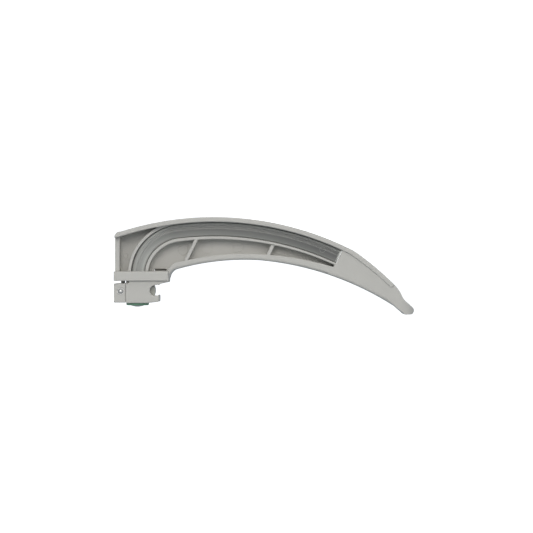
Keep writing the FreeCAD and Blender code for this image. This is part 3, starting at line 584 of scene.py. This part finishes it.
bar_mesh = bmesh.new()
bar_mesh.from_mesh(bar.data)
bmesh.ops.remove_doubles(bar_mesh, verts=bar_mesh.verts, dist=WELD)
end_direction = Vector((math.sin(math.radians(GUIDE_END)), 0, -math.cos(math.radians(GUIDE_END))))
far_end = max(vert.co.dot(end_direction) for vert in bar_mesh.verts)
end_front = [edge for edge in bar_mesh.edges
             if all(vert.co.dot(end_direction) > far_end - WELD for vert in edge.verts)
             and all(vert.co.y < END_FACE_Y for vert in edge.verts)]
bmesh.ops.bevel(bar_mesh, geom=end_front, offset=END_CHAMFER, segments=1, affect="EDGES")

dome_drop = DOME_RIM - DOME_TIP
dome_sphere = (DOME_RADIUS ** 2 + dome_drop ** 2) / (2 * dome_drop)
barrel_line = []
for step in range(DOME_STEPS + 1):
    across = DOME_RADIUS * step / DOME_STEPS
    barrel_line.append((across, DOME_TIP + dome_sphere - math.sqrt(dome_sphere ** 2 - across ** 2)))
barrel_line += [(DOME_RADIUS, DOME_TOP), (BARREL_RADIUS, DOME_TOP + SHOULDER_RISE),
                (BARREL_RADIUS, GUIDE_FOOT), (0, GUIDE_FOOT)]
barrel_verts = [bar_mesh.verts.new(((BARREL_X + across) * MM, 0, up * MM)) for across, up in barrel_line]
barrel_edges = [bar_mesh.edges.new(pair) for pair in zip(barrel_verts, barrel_verts[1:])]
bmesh.ops.spin(bar_mesh, geom=barrel_verts + barrel_edges, cent=(BARREL_X * MM, 0, 0), axis=(0, 0, 1),
               angle=math.tau, steps=LATHE_STEPS, use_merge=True)
bmesh.ops.remove_doubles(bar_mesh, verts=bar_mesh.verts, dist=WELD)
bmesh.ops.recalc_face_normals(bar_mesh, faces=bar_mesh.faces)
bar_mesh.to_mesh(bar.data)
bar_mesh.free()
bar = shade(bar)
finish_piece(bar, clear_acrylic, "blade", "clear_acrylic", "light_guide")

# ---------------------------------------------------------------- gate marks
# Two faint raised rings on the guide's face near its far end, left by the gate and a pin of its mould.

GATE_MARKS = [(72.3, 17.7, 1.2), (69.2, 21.6, 0.5)]
GUIDE_FACE_Y = -5.17 * MM
GATE_RIM = 0.07 * MM
gate_marks = raised_rings("gate_points", GATE_MARKS, GUIDE_FACE_Y, GATE_RIM, clear_acrylic)
gate_marks.name = "gate_marks"
finish_piece(gate_marks, clear_acrylic, "blade", "clear_acrylic")

# ---------------------------------------------------------------- colour ring
# A green ring, moulded in through-coloured plastic and pressed up round the inlet. Its colour tells the
# user which handles it fits.

RING_EDGE = 0.12 * MM
green_plastic = moulded_plastic("green_plastic", (0.115, 0.26, 0.16), (0.14, 0.295, 0.19), 0.42, 0.01 * MM)
ring = rounded_copy("colour_ring", "colour_ring_moulding", RING_EDGE)
finish_piece(ring, green_plastic, "blade", "green_plastic", "colour_ring")

# ---------------------------------------------------------------- ball housing
# A small block in the heel's plastic, hung from the base plate by a post, with a bore across it for the
# two balls that click into the handle.

housing = rounded_copy("ball_housing", "housing_moulding", HEEL_EDGE)
finish_piece(housing, fitting_plastic, "blade", "fitting_plastic", "ball_housing")

# ---------------------------------------------------------------- ball sleeves
# Two drawn cups in satin steel, pressed into the bore. The lip of each is rolled in so that the ball
# can't fall out.

SLEEVE_EDGE = 0.05 * MM
sleeve_steel = metal("sleeve_steel", 0.6, (0.58, 0.575, 0.56), (0.66, 0.655, 0.64),
                     900, 3, 7000, 0.15, 0.004 * MM)
for side in ("left", "right"):
    sleeve = rounded_copy(f"{side}_ball_sleeve", f"{side}_sleeve_cup", SLEEVE_EDGE)
    finish_piece(sleeve, sleeve_steel, "blade", "sleeve_steel", f"{side}_ball_sleeve")

# ---------------------------------------------------------------- detent spring
# A coil of fine spring wire between the two balls, wound in the same steel as the leaf. It pushes both
# balls out of their sleeves.

WIRE = 0.17 * MM
COIL_TURNS = 11
TURN_STEPS, WIRE_SIDES = 28, 12
coil_low, coil_high = (Vector(corner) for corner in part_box("detent_spring"))
coil_group = node_group("detent_coil", [("Radius", "Float"), ("Length", "Float"), ("Turns", "Float"),
                                        ("Wire", "Float"), ("Place", "Vector"), ("Material", "Material")])
given = coil_group.nodes.new("NodeGroupInput")
coil_line = add_node(coil_group, "GeometryNodeCurveSpiral", [("Resolution", TURN_STEPS)], [
    ("Rotations", given.outputs["Turns"]), ("Start Radius", given.outputs["Radius"]),
    ("End Radius", given.outputs["Radius"]), ("Height", given.outputs["Length"])])
coil_wire = add_node(coil_group, "GeometryNodeCurvePrimitiveCircle", [("Resolution", WIRE_SIDES)],
                     [("Radius", given.outputs["Wire"])])
coil_swept = add_node(coil_group, "GeometryNodeCurveToMesh", [("Fill Caps", True)], [
    ("Curve", coil_line.outputs["Curve"]), ("Profile Curve", coil_wire.outputs["Curve"])])
coil_placed = add_node(coil_group, "GeometryNodeTransform", [("Rotation", (math.radians(-90), 0, 0))],
                       [("Geometry", coil_swept.outputs[0]), ("Translation", given.outputs["Place"])])
end_group(coil_group, coil_placed.outputs[0], given.outputs["Material"])

coil_middle = (coil_low + coil_high) / 2
coil = run_group(mesh_piece("coil_seed", bmesh.new()), coil_group, {
    "Radius": (coil_high.x - coil_low.x) / 2 - WIRE, "Length": coil_high.y - coil_low.y - 2 * WIRE,
    "Turns": float(COIL_TURNS), "Wire": WIRE, "Place": (coil_middle.x, coil_low.y + WIRE, coil_middle.z),
    "Material": spring_steel})
finish_piece(coil, spring_steel, "blade", "spring_steel", "detent_spring")

# ---------------------------------------------------------------- detent balls
# Two ground steel balls that stand a little proud of the housing. The handle presses them in as the blade
# goes on, and they spring out again into its dimples.

BALL_DIVISIONS = 5
ball_steel = metal("ball_steel", 0.42, (0.52, 0.515, 0.50), (0.60, 0.595, 0.58),
                   1500, 3, 5000, 0.12, 0.003 * MM)
for side in ("left", "right"):
    low, high = (Vector(corner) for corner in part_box(f"{side}_ball"))
    ball_mesh = bmesh.new()
    bmesh.ops.create_icosphere(ball_mesh, subdivisions=BALL_DIVISIONS, radius=(high.x - low.x) / 2)
    bmesh.ops.translate(ball_mesh, verts=ball_mesh.verts, vec=(low + high) / 2)
    for face in ball_mesh.faces:
        face.smooth = True
    ball = mesh_piece(f"{side}_steel_ball", ball_mesh)
    finish_piece(ball, ball_steel, f"{side}_ball", "ball_steel", f"{side}_ball")
